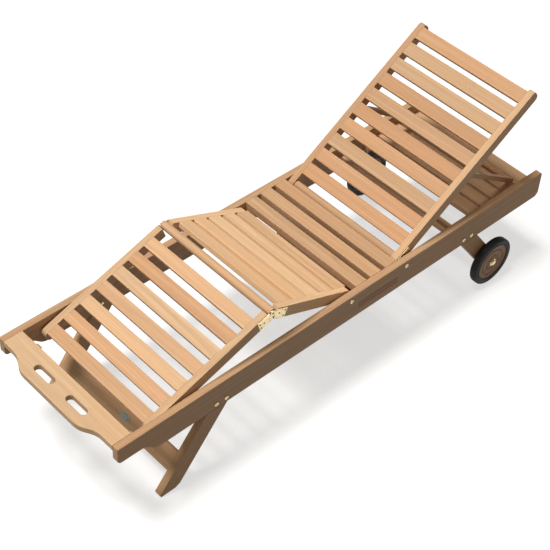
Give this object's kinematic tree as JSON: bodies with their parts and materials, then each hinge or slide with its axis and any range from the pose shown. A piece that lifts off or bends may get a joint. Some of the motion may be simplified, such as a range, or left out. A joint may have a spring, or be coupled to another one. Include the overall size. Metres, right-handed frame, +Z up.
{
  "type": "reclining sun lounger",
  "caption": "Slatted wooden sun lounger on wheels with a reclining back, a folding knee-raise foot section, a handle board and a pull-out side tray.",
  "frame": {"origin": "on the ground, under the middle of the lounger's length and width", "axes": "+Z up, +X towards the head end, -Y towards the side where the tray pulls out"},
  "size_m": [1.97, 0.6688, 0.7585],
  "materials": {
    "frame_wood": "oiled hardwood, satin",
    "slat_wood": "sanded hardwood, matt",
    "turned_wood": "turned hardwood, satin",
    "brass": "satin brass",
    "plate_metal": "dull metal plate",
    "rubber": "matt black rubber"
  },
  "bodies": {
    "frame": {"foot_panel_rests": "slat_wood", "front_leg_far": "frame_wood", "front_leg_near": "frame_wood", "front_stretcher": "frame_wood", "handle_board": "slat_wood", "head_boards": "slat_wood", "head_cross_bar": "slat_wood", "head_end_board": "slat_wood", "ledger_strips": "slat_wood", "leg_bolts": "brass", "pivot_bolts": "brass", "seat_slat_1": "slat_wood", "seat_slat_2": "slat_wood", "seat_slat_3": "slat_wood", "side_rail_far": "frame_wood", "side_rail_near": "frame_wood", "stretcher_plate": "plate_metal", "tray_runners": "slat_wood", "wheel_axles": "brass", "wheel_legs": "frame_wood"},
    "backrest": {"back_batten_far": "slat_wood", "back_batten_near": "slat_wood", "back_dowel": "slat_wood", "back_pivot_plates": "brass", "back_slat_01": "slat_wood", "back_slat_02": "slat_wood", "back_slat_03": "slat_wood", "back_slat_04": "slat_wood", "back_slat_05": "slat_wood", "back_slat_06": "slat_wood", "back_slat_07": "slat_wood", "back_slat_08": "slat_wood", "back_slat_09": "slat_wood", "back_slat_10": "slat_wood", "prop_pins": "brass"},
    "prop": {"prop_arms": "slat_wood", "prop_dowel": "slat_wood"},
    "thigh_panel": {"thigh_battens": "slat_wood", "thigh_hinge_leaves": "brass", "knee_dowel": "slat_wood", "thigh_slat_1": "slat_wood", "thigh_slat_2": "slat_wood", "thigh_slat_3": "slat_wood", "thigh_slat_4": "slat_wood", "thigh_slat_5": "slat_wood"},
    "foot_panel": {"foot_battens": "slat_wood", "foot_hinge_leaves": "brass", "foot_slat_1": "slat_wood", "foot_slat_2": "slat_wood", "foot_slat_3": "slat_wood", "foot_slat_4": "slat_wood", "foot_slat_5": "slat_wood", "foot_slat_6": "slat_wood", "foot_slat_7": "slat_wood"},
    "wheel_near": {"wheel_disc_near": "turned_wood", "tyre_near": "rubber"},
    "wheel_far": {"wheel_disc_far": "turned_wood", "tyre_far": "rubber"},
    "tray": {"tray_board": "slat_wood"}
  },
  "joints": [
    {"name": "recline", "type": "hinge", "parent": "frame", "child": "backrest", "pos_m": [0.275, 0, 0.346], "axis": [0, -1, 0], "range_deg": [-33.2, 30]},
    {"name": "prop_swing", "type": "hinge", "parent": "backrest", "child": "prop", "pos_m": [0.58535, 0, 0.53833], "axis": [0, 1, 0], "range_deg": [-67, 61]},
    {"name": "thigh_lift", "type": "hinge", "parent": "frame", "child": "thigh_panel", "pos_m": [0.015, 0, 0.346], "axis": [0, 1, 0], "range_deg": [-22.6, 0]},
    {"name": "knee_fold", "type": "hinge", "parent": "thigh_panel", "child": "foot_panel", "pos_m": [-0.31451, 0, 0.48858], "axis": [0, 1, 0], "range_deg": [-1, 43]},
    {"name": "wheel_near_spin", "type": "hinge", "parent": "frame", "child": "wheel_near", "pos_m": [0.73744, -0.315, 0.096], "axis": [0, 1, 0], "continuous": true},
    {"name": "wheel_far_spin", "type": "hinge", "parent": "frame", "child": "wheel_far", "pos_m": [0.73744, 0.315, 0.096], "axis": [0, 1, 0], "continuous": true},
    {"name": "tray_slide", "type": "slide", "parent": "frame", "child": "tray", "axis": [0, -1, 0], "range_m": [0, 0.3]}
  ],
  "couplings": [
    {"joint": "prop_swing", "follows": "recline", "ratio": 2},
    {"joint": "knee_fold", "follows": "thigh_lift", "ratio": -1.8496}
  ]
}
